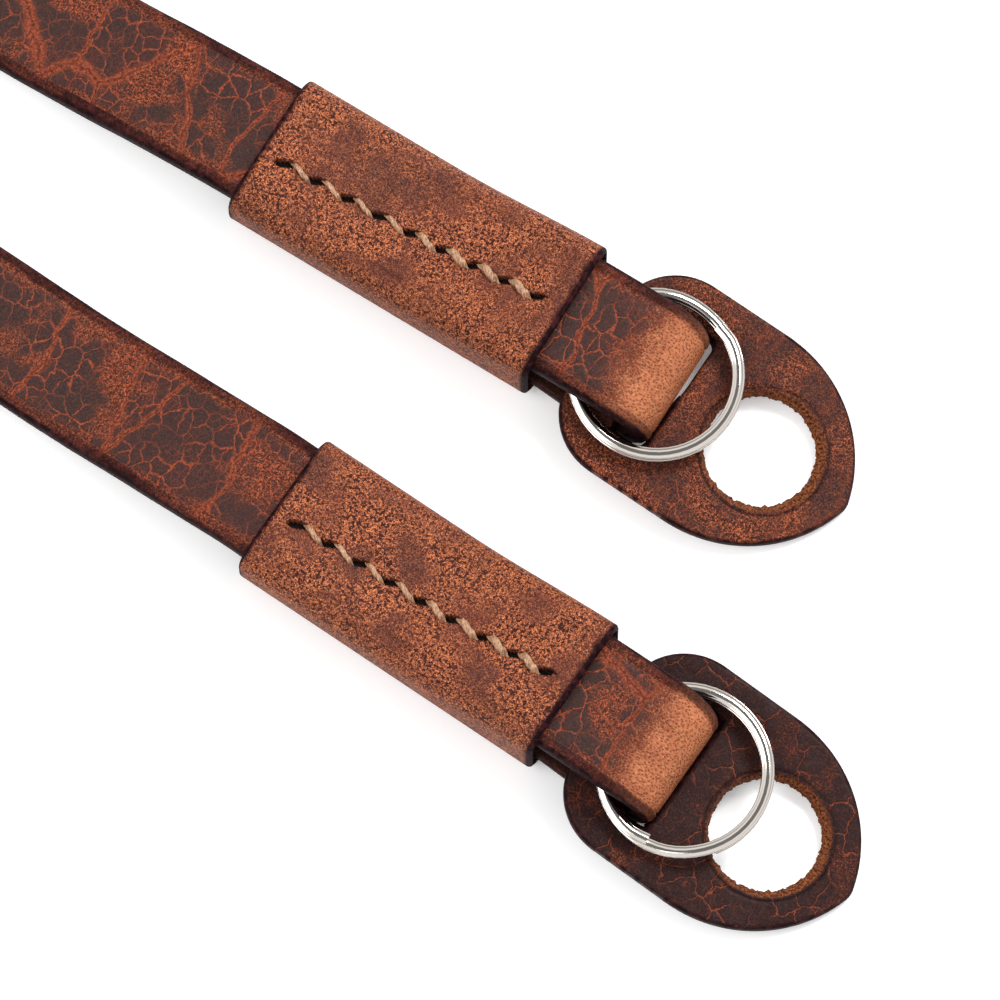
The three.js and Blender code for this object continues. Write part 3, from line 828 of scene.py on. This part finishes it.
def row_point(along, across):
    """A place on the keeper, measured along and across the row of stitches."""
    return stitch_start + row_along * along + row_across * across


slits = [
    (row_point(i * step_length, -slit_rise / 2), row_point((i + slit_share) * step_length, slit_rise / 2))
    for i in range(stitch_count + 1)
]


# %% Section and shape of a keeper
inner_half = half_width + sleeve_clearance
outer_half = inner_half + keeper_wall
keeper_side = outer_half - keeper_corner
keeper_rim = 0.42
half_top = 5.2
# The top is cut finest where the slits come.
stitch_band = np.concatenate([
    np.linspace(-4.9, -2.7, 7)[:-1],
    np.linspace(-2.7, 1.2, 40),
    np.linspace(1.2, 4.9, 11)[1:],
])


def keeper_places():
    """Places round a keeper: how far across, top or bottom as 1 or -1, and the angle round a corner."""
    quarter = np.linspace(0, 90, 8)
    places = [(across, 1, 0.0) for across in stitch_band[::-1]]
    places += [(-keeper_side, 1, angle) for angle in quarter[1:]]
    places += [(-keeper_side, -1, angle) for angle in quarter[::-1]]
    places += [(across, -1, 0.0) for across in np.linspace(-4, 4, 7)]
    places += [(keeper_side, -1, angle) for angle in quarter]
    places += [(keeper_side, 1, angle) for angle in quarter[:0:-1]]
    return places


def keeper_point(x, place):
    """Across and up of one point of the keeper's outer surface at x."""
    across, side, angle = place
    roof = float(cover_height(np.array(x))) + half_thickness + sleeve_clearance + keeper_wall
    from_end = min(-x, x + keeper_length)
    inset = keeper_rim - math.sqrt(max(keeper_rim ** 2 - max(keeper_rim - from_end, 0) ** 2, 0))
    if abs(across) == keeper_side:
        radius = keeper_corner - inset
        angle = math.radians(angle)
        out = math.copysign(keeper_side + radius * math.sin(angle), across)
        height = keeper_corner - radius * math.cos(angle)
    else:
        out = across
        height = inset
    return out, roof - height if side > 0 else height


# %% Press the slits and give the wall
slit_depth = 0.6
lip_height = 0.07
pull_depth = 0.16


def distance_to_slits(points):
    """Distance in millimetres from the border of the nearest awl slit, which is shaped like a lens."""
    best = np.full(len(points), 99.0)
    for start, end in slits:
        run = end - start
        share = np.clip(((points - start) @ run) / (run @ run), 0, 1)
        gap = np.linalg.norm(points - (start + share[:, None] * run), axis=1)
        lens = 0.24 * np.sqrt(np.clip(1 - (2 * share - 1) ** 2, 0, 1)) + 0.02
        best = np.minimum(best, gap - lens)
    return best


def make_keeper(side):
    """The sleeve of one end, as a tube with pressed slits."""
    places = keeper_places()
    section = [keeper_point(-keeper_length / 2, place) for place in places]
    cuts = [(keeper_rim, 4), (keeper_length - 2 * keeper_rim, 190), (keeper_rim, 4)]
    piece = bar(f"keeper_leather_{side}", section, cuts, closed=False)
    points = points_of(piece)
    points[:, 0] -= keeper_length
    order = {(round(a, 4), round(u, 4)): i for i, (a, u) in enumerate(section)}
    index = [order[(round(a, 4), round(u, 4))] for a, u in points[:, 1:]]
    points[:, 1:] = [keeper_point(x, places[i]) for x, i in zip(points[:, 0], index)]
    top = np.array([places[i][1] > 0 for i in index]) & (np.abs(points[:, 1]) < half_top)
    from_row = (points[:, :2] - stitch_start) @ row_across
    along_row = (points[:, :2] - stitch_start) @ row_along
    inside_row = smooth(along_row / 1.5 + 0.4) * smooth((row_length - along_row) / 1.5 + 0.4)
    pulled = pull_depth * np.exp(-(from_row / 1.5) ** 2) * inside_row
    gap = distance_to_slits(points[:, :2])
    slit_and_shade = smooth(1 - gap / 0.1)
    lip = lip_height * np.exp(-((gap - 0.2) / 0.18) ** 2) * (gap > 0)
    points[:, 2] += top * (lip - pulled - slit_depth * slit_and_shade)
    points[:, 2] += top * waver(points, size=3.0, amount=0.06, seed=5 if side == "left" else 6)
    move(piece, points)
    # The slits are painted near black as the shade inside them.
    mark(piece, "slit_and_shade", slit_and_shade * top)
    return piece


def wall_in(piece):
    """Gives the tube its wall, whose inside stays on the strap."""
    activate(piece)
    wall = piece.modifiers.new("wall", "SOLIDIFY")
    wall.thickness = keeper_wall * MM
    wall.offset = -1
    bpy.ops.object.modifier_apply(modifier="wall")


# %% Make the keepers
def wear_keeper(keeper, points):
    """Keeps the burnished ends, the tooled lines as painted shade and the rubbed sides on every point."""
    from_end = np.minimum(-points[:, 0], points[:, 0] + keeper_length)
    ragged = waver(points, size=1.1, amount=0.16, seed=7) + waver(points, size=4.0, amount=0.12, seed=8)
    band = np.where(points[:, 0] > -keeper_length / 2, 0.85, 0.6)
    mark(keeper, "edge", smooth((band + ragged - from_end) / 0.35))
    from_side = outer_half - np.abs(points[:, 1])
    mark(keeper, "rub", smooth((2.4 - from_side - waver(points, size=2.0, amount=0.6, seed=14)) / 1.6))
    # A line is tooled along each side, and one across the ring end. The mesh has no groove there, so each
    # line is painted dark as the shade in a groove, on the slits' mask.
    side_line = np.exp(-((from_side - 2.3 - waver(points, size=9.0, amount=0.5, seed=18)) / 0.22) ** 2)
    faint = 0.3 * (0.6 + waver(points, size=3.0, amount=1.2, seed=19))
    end_line = np.exp(-((points[:, 0] + 1.9) / 0.12) ** 2) * (np.abs(points[:, 1]) < half_top)
    lines = np.maximum(side_line * faint, 0.4 * end_line) * (points[:, 2] > 4)
    slit_and_shade = np.empty(len(points))
    keeper.data.attributes["slit_and_shade"].data.foreach_get("value", slit_and_shade)
    mark(keeper, "slit_and_shade", np.clip(np.maximum(slit_and_shade, lines), 0, 1))


for side, sign in SIGNS.items():
    keeper = make_keeper(side)
    recalculate_normals(keeper)
    outer_count = len(keeper.data.vertices)
    wall_in(keeper)
    points = points_of(keeper)
    mark(keeper, "hide", points + [0, 0, 40 * sign])
    wear_keeper(keeper, points)
    # The pressed slits must not push the wall's inside into the strap.
    is_inner = np.arange(len(points)) >= outer_count
    roof = cover_height(points[:, 0]) + half_thickness + sleeve_clearance
    low_inside = is_inner & (points[:, 2] < roof) & (points[:, 2] > 4) & (np.abs(points[:, 1]) < 5.6)
    points[low_inside, 2] = roof[low_inside]
    move(keeper, stand(sign)(points))
    smooth_shade(keeper, 50)
    finish_piece(keeper, keeper_leather, f"keeper_{side}")
    print(keeper.name, len(keeper.data.polygons), "faces")

# %% [markdown]
# ## The thread
# One stitch is a short length of three-ply waxed linen. It comes up out of one slit, lies on the
# leather and goes down into the next. It is made as a bar with three lobes, twisted, and bent over from
# slit to slit.

# %% Stitches
sunk_end = 0.5
twist_turns = 0.9


def stitch(side, i):
    """The visible thread between slit i and the next one."""
    sign = SIGNS[side]
    start = slits[i][1]
    end = slits[i + 1][0]
    span = end - start
    length = float(np.linalg.norm(span))
    first, last = stitch_gauge[side]
    gauge = first + (last - first) * smooth((i - 2.5) / 3)
    angles = np.linspace(0, 2 * math.pi, 24, endpoint=False)
    lobes = gauge / 2 * (0.86 + 0.14 * np.cos(3 * angles))
    section = list(zip(lobes * np.cos(angles), lobes * np.sin(angles)))
    reach = length + 2 * sunk_end
    piece = bar(f"stitch_{side}_{i + 1}", section, [(reach, 36)])
    points = points_of(piece)
    mark(piece, "hide", points + [i * 3.7, 0, 0])
    share = points[:, 0] / reach
    twist = share * 2 * math.pi * twist_turns
    across = points[:, 1] * np.cos(twist) - points[:, 2] * np.sin(twist)
    up = points[:, 1] * np.sin(twist) + points[:, 2] * np.cos(twist)
    run = span / length
    aside = np.array([-run[1], run[0]])
    along = (share - 0.5) * reach
    middle = (start + end) / 2
    flat_place = middle + along[:, None] * run + (across * 1.12)[:, None] * aside
    deep = smooth((np.abs(along) - length * 0.36) / (reach / 2 - length * 0.36))
    surface = cover_height(flat_place[:, 0]) + half_thickness + sleeve_clearance + keeper_wall - 0.14
    height = surface + gauge * 0.3 - deep * 0.75 + up * 0.8
    points = np.column_stack([flat_place, height])
    move(piece, stand(sign)(points))
    recalculate_normals(piece)
    smooth_shade(piece, 60)
    finish_piece(piece, thread_material)
    return piece


stitches = [stitch(side, i) for side in SIGNS for i in range(stitch_count)]
print(len(stitches), "stitches")

# %% [markdown]
# ## The split rings
# A split ring is one flattened wire wound twice. It steps up from the lower coil to the upper one over
# a short crossover, with the wire's two ends beside it. The wire is drawn straight, then wound.

# %% Wind the wire
crossover_degrees = 44.0
coil_end_gap = 2.0
crossovers = {"left": 94.0, "right": -59.0}
corner = 0.12
crown = 0.18
wire_section = []
for across_sign, up_sign, start_angle in ((1, -1, -90), (1, 1, 0), (-1, 1, 90), (-1, -1, 180)):
    for angle in np.linspace(start_angle, start_angle + 90, 6):
        angle = math.radians(angle)
        wire_section.append((
            across_sign * (wire_width / 2 - corner) + corner * math.cos(angle),
            up_sign * (wire_height / 2 - crown - corner) + corner * math.sin(angle),
        ))
    for share in (0.75, 0.5, 0.25, 0.0, -0.25, -0.5, -0.75) if across_sign == up_sign else ():
        across = across_sign * share * (wire_width / 2 - corner)
        wire_section.append((across, up_sign * (wire_height / 2 - crown * share ** 2)))


def ring_seat_height(side):
    """Height of the ring's underside at its centre, where it rests on the guard."""
    centre = ring_shares[side] * ring_diameter
    touch = max(guard_setback, centre - ring_diameter / 2)
    return ring_seat - guard_slope * (touch - guard_setback) - math.tan(ring_tilt) * (centre - touch)


for side, sign in SIGNS.items():
    half_step = crossover_degrees / 2
    first_angle = half_step + coil_end_gap
    last_angle = 720 - half_step - coil_end_gap
    middle_radius = ring_diameter / 2 - wire_width / 2
    wire_length = math.radians(last_angle - first_angle) * middle_radius
    wire = bar(f"ring_wire_{side}", wire_section, [(wire_length, 336)])
    points = points_of(wire)
    degrees = first_angle + (last_angle - first_angle) * points[:, 0] / wire_length
    rise = smooth((degrees - 360 + half_step) / crossover_degrees) * (wire_height + coil_gap)
    angle = np.radians(degrees + crossovers[side])
    radius = middle_radius + points[:, 1] - 0.22 * smooth((degrees - last_angle + 16) / 16)
    height = wire_height / 2 + rise + points[:, 2]
    wound = np.column_stack([radius * np.cos(angle), radius * np.sin(angle), height])
    centre = [ring_shares[side] * ring_diameter, 0, ring_seat_height(side)]
    move(wire, stand(sign)(turned(wound, ring_tilt, 2, 0) + centre))
    recalculate_normals(wire)
    smooth_shade(wire, 50)
    finish_piece(wire, nickel, f"split_ring_{side}")
    print(wire.name, len(wire.data.polygons), "faces")

# %% [markdown]
# ## The ring guards
# A guard is cut from thicker leather with a knife and two punches: a leaf, a round hole and a slot. The
# leaf is drawn as a ring of points on its outline, filled and pulled up to its thickness. The hole and
# the slot are cut with booleans, because that is how the punches work, and the cut edges are then
# bevelled and worn.

# %% Outline of the leaf
rear_radius = 6.2
side_end = rear_radius + 8.0
tip_radius = 1.8
half_guard = guard_width / 2
reach = guard_length - tip_radius - side_end
front_radius = (reach ** 2 + half_guard ** 2 - tip_radius ** 2) / (2 * (half_guard - tip_radius))
sweep = math.atan2(reach, front_radius - half_guard)


def arc(x, y, radius, start, end, steps):
    """Points of an arc about a centre, both ends included."""
    angles = np.linspace(start, end, steps + 1)
    return [(x + radius * math.cos(a), y + radius * math.sin(a)) for a in angles]


near_side = arc(rear_radius, rear_radius - half_guard, rear_radius, -math.pi, -math.pi / 2, 18)
near_side += arc(side_end, front_radius - half_guard, front_radius, -math.pi / 2, sweep - math.pi / 2, 26)
near_side += arc(guard_length - tip_radius, 0, tip_radius, sweep - math.pi / 2, 0, 8)[1:]
guard_outline = near_side + [(x, -y) for x, y in near_side[-2::-1]]
hole_x = guard_length - hole_border - hole_diameter / 2
print("guard outline of", len(guard_outline), "points")


# %% Cut a guard
punch_length = 4.0
slot_corner = 0.8


def cut(piece, cutter):
    """Takes one solid out of another."""
    activate(piece)
    punch = piece.modifiers.new("punch", "BOOLEAN")
    punch.operation = "DIFFERENCE"
    punch.solver = "EXACT"
    punch.object = cutter
    bpy.ops.object.modifier_apply(modifier="punch")
    bpy.data.objects.remove(cutter, do_unlink=True)


def guard_blank(side):
    """The leaf with its hole and slot, lying flat with its underside at height 0."""
    deselect()
    bpy.ops.mesh.primitive_circle_add(vertices=len(guard_outline), radius=MM, fill_type="NGON")
    leaf = bpy.context.object
    leaf.name = leaf.data.name = f"guard_leather_{side}"
    for vertex, (x, y) in zip(leaf.data.vertices, guard_outline):
        vertex.co = (x * MM, y * MM, 0)
    bpy.ops.object.mode_set(mode="EDIT")
    bpy.ops.mesh.select_all(action="SELECT")
    bpy.ops.mesh.extrude_region_move(TRANSFORM_OT_translate={"value": (0, 0, guard_thickness * MM)})
    bpy.ops.mesh.select_all(action="SELECT")
    bpy.ops.mesh.normals_make_consistent(inside=False)
    bpy.ops.object.mode_set(mode="OBJECT")

    deselect()
    bpy.ops.mesh.primitive_cylinder_add(
        vertices=120, radius=hole_diameter / 2 * MM, depth=punch_length * MM,
        location=(hole_x * MM, 0, guard_thickness / 2 * MM),
    )
    cut(leaf, bpy.context.object)
    deselect()
    slot_front = slot_fronts[side]
    slot_middle = (slot_rear + slot_front) / 2
    bpy.ops.mesh.primitive_cube_add(size=MM, location=(slot_middle * MM, 0, guard_thickness / 2 * MM))
    slot = bpy.context.object
    slot.scale = (slot_front - slot_rear, slot_width, punch_length)
    bpy.ops.object.transform_apply(location=True, rotation=True, scale=True)
    bpy.ops.object.mode_set(mode="EDIT")
    select_edges(slot, lambda a, b: abs(a.z - b.z) > 1)
    bpy.ops.mesh.bevel(offset=slot_corner * MM, segments=5)
    bpy.ops.object.mode_set(mode="OBJECT")
    cut(leaf, slot)
    return leaf


def soften_guard(leaf):
    """Rounds the cut edges, then rebuilds the skin in small even faces that can hold wear."""
    activate(leaf)
    rounding = leaf.modifiers.new("rounding", "BEVEL")
    rounding.width = 0.34 * MM
    rounding.segments = 4
    rounding.limit_method = "ANGLE"
    rounding.angle_limit = math.radians(60)
    bpy.ops.object.modifier_apply(modifier="rounding")
    skin = leaf.modifiers.new("skin", "REMESH")
    skin.mode = "VOXEL"
    skin.voxel_size = 0.14 * MM
    bpy.ops.object.modifier_apply(modifier="skin")
    calm = leaf.modifiers.new("calm", "SMOOTH")
    calm.factor = 0.5
    calm.iterations = 4
    bpy.ops.object.modifier_apply(modifier="calm")

# %% Wear on a guard
def border_distance(points, slot_front):
    """Distance of each point from the leaf's outline, from its slot and from its hole, in millimetres."""
    outline = np.array(guard_outline)
    along = np.roll(outline, -1, axis=0) - outline
    spots = (outline[:, None] + along[:, None] * np.linspace(0, 1, 6)[None, :, None]).reshape(-1, 2)
    to_outline = np.array([np.sqrt(((spots - p) ** 2).sum(axis=1).min()) for p in points[:, :2]])
    beyond_x = np.abs(points[:, 0] - (slot_rear + slot_front) / 2) - (slot_front - slot_rear) / 2
    beyond_y = np.abs(points[:, 1]) - slot_width / 2
    past_corner = (beyond_x > 0) & (beyond_y > 0)
    to_slot = np.where(past_corner, np.hypot(beyond_x, beyond_y), np.maximum(beyond_x, beyond_y))
    to_hole = np.hypot(points[:, 0] - hole_x, points[:, 1]) - hole_diameter / 2
    return to_outline, to_slot, to_hole


def mark_guard(leaf, points, borders, off_centre):
    """Keeps the burnished rims, the raw wall, the painted shade in the pressed ring and the rubbed hide on
    every point.
    """
    to_outline, to_slot, to_hole = borders
    ragged = waver(points, size=1.2, amount=0.14, seed=9) + waver(points, size=4.0, amount=0.1, seed=10)
    outer_rim = smooth((0.36 + ragged - to_outline) / 0.25)
    slot_rim = smooth((0.3 + ragged - to_slot) / 0.25)
    torn = waver(points, size=0.5, amount=0.15, seed=16)
    raw = smooth((0.38 + torn - off_centre) / 0.12) * (points[:, 2] > 0.1)
    mark(leaf, "raw", raw)
    mark(leaf, "edge", np.maximum(outer_rim, slot_rim) * (1 - raw))
    # The groove of the pressed ring is painted dark as its shade.
    mark(leaf, "slit_and_shade", 0.75 * np.exp(-((off_centre - 0.62) / 0.14) ** 2) * (points[:, 2] > 0.8))
    mark(leaf, "rub", smooth((1.1 + waver(points, size=1.6, amount=0.6, seed=15) - to_hole) / 0.9))


def press_guard(points, side, borders, off_centre):
    """Frays and leans the walls of the hole and slot, and presses the ring round the hole."""
    _, to_slot, to_hole = borders
    depth_share = 1 - np.clip(points[:, 2] / guard_thickness, 0, 1)
    outward = points[:, :2] - [hole_x, 0]
    outward /= np.linalg.norm(outward, axis=1)[:, None]
    fibres = waver(points, size=0.45, amount=0.3, seed=11) + waver(points, size=0.16, amount=0.16, seed=12)
    fibres *= to_hole < 0.06
    hole_lean = 0.3 * smooth(1 - to_hole / 0.5)
    on_top = smooth(points[:, 2] / guard_thickness * 2 - 0.6)
    pressed_ring = 0.14 * np.exp(-((off_centre - 0.66) / 0.13) ** 2)
    points[:, :2] -= outward * ((hole_lean + fibres) * depth_share)[:, None]
    points[:, 2] -= on_top * (0.4 * smooth((0.5 - off_centre) / 0.6) + pressed_ring)
    # The slot's walls lean in, because the soft leather closes round the fold.
    leaning = smooth(0.5 - points[:, 1] / 3) if side == "left" else 1.0
    beside_slot = smooth(1 - to_slot / 0.5)
    points[:, 0] -= 0.5 * depth_share * leaning * beside_slot * (points[:, 0] > slot_fronts[side] - 0.1)
    points[:, 1] -= 0.4 * depth_share * np.sign(points[:, 1]) * beside_slot * (to_hole > 2)


# %% Make the guards
guard_turns = {"left": -1.5, "right": -1.0}
guard_shift = 0.1
press_offset = 0.3
for side, sign in SIGNS.items():
    leaf = guard_blank(side)
    soften_guard(leaf)
    points = points_of(leaf)
    mark(leaf, "hide", points + [0, 0, 60 * sign])
    borders = border_distance(points, slot_fronts[side])
    # The ring was pressed a little off the hole's centre.
    off_centre = np.hypot(points[:, 0] - hole_x - press_offset, points[:, 1]) - hole_diameter / 2
    mark_guard(leaf, points, borders, off_centre)
    press_guard(points, side, borders, off_centre)
    tilted = turned(turned(points, guard_tilt, 2, 0), math.radians(guard_turns[side]), 0, 1)
    move(leaf, stand(sign)(tilted + [guard_setback, guard_shift, guard_rear_bottom]))
    smooth_shade(leaf, 50)
    finish_piece(leaf, guard_leathers[side], f"guard_{side}")
    print(leaf.name, len(leaf.data.polygons), "faces")

# %% [markdown]
# ## Floor, light and camera
# The strap lies on a white sheet under soft light from all round. The camera looks steeply down on the
# two ends through a long lens, so that the two ends run down to the right.

# %% Floor
# The sheet gives the eye an even white that only takes the soft shadows.
deselect()
bpy.ops.mesh.primitive_plane_add(size=6.0, location=(0, 0, 0))
floor = bpy.context.object
floor.name = "floor"
white_sheet, add = new_material("white_paper")
# A little light of its own keeps the sheet an even white under the soft shadows.
sheet_shader = add("BsdfPrincipled", {
    "Base Color": (0.92, 0.92, 0.92, 1), "Roughness": 0.9, "Specular IOR Level": 0.0,
    "Emission Color": (1, 1, 1, 1), "Emission Strength": 0.16,
})
add("OutputMaterial", {"Surface": sheet_shader})
floor.data.materials.append(white_sheet)

# %% Light
world = bpy.data.worlds.new("studio")
bpy.context.scene.world = world
world.use_nodes = True
world.node_tree.nodes.clear()
add = partial(add_node, world.node_tree)
height = add("SeparateXYZ", {"Vector": add("TexCoord", {}).outputs["Generated"]}).outputs["Z"]
# The tent's walls are dim near the floor and brightest at half height. Its roof is open and dark, which
# puts the dark lines on the rings.
wall_range = {"Value": height, "From Min": 0.25, "From Max": 0.7, "To Min": 0.3, "To Max": 1.5}
roof_range = {"Value": height, "From Min": 0.8, "From Max": 0.92, "To Max": 1.2}
walls = add("MapRange", wall_range, **SMOOTH)
roof = add("MapRange", roof_range, **SMOOTH)
strength = add("Math", {0: walls, 1: roof}, operation="SUBTRACT")
add("OutputWorld", {"Surface": add("Background", {"Color": (1, 1, 1, 1), "Strength": strength})})
bpy.context.scene.view_settings.view_transform = "Standard"


def softbox(name, place, size, power):
    """A square lamp that looks at the middle of the two ends."""
    deselect()
    bpy.ops.object.light_add(type="AREA", location=place)
    lamp = bpy.context.object
    lamp.name = name
    lamp.data.shape = "SQUARE"
    lamp.data.size = size
    lamp.data.energy = power
    lamp.rotation_euler = (Vector((0.195, 0.0, 0)) - Vector(place)).to_track_quat("-Z", "Y").to_euler()


softbox("key", (0.4, 0.8, 1.0), 0.5, 15.0)
softbox("fill", (-0.3, -0.6, 1.0), 0.8, 7.0)

# %% Camera
photo_azimuth = math.radians(33.15)
photo_elevation = math.radians(75)
camera_distance = 0.9
aim = Vector((0.196, 0.0022, 0))
view_width = 1000 / 11.1 * MM
back = Vector((
    math.sin(photo_azimuth) * math.cos(photo_elevation),
    -math.cos(photo_azimuth) * math.cos(photo_elevation),
    math.sin(photo_elevation),
))
deselect()
bpy.ops.object.camera_add(location=aim + back * camera_distance)
camera = bpy.context.object
camera.data.sensor_width = 36.0
camera.data.lens = 36.0 * camera_distance / view_width
camera.rotation_euler = (-back).to_track_quat("-Z", "Y").to_euler()
camera.data.clip_start = 0.01
bpy.context.scene.camera = camera
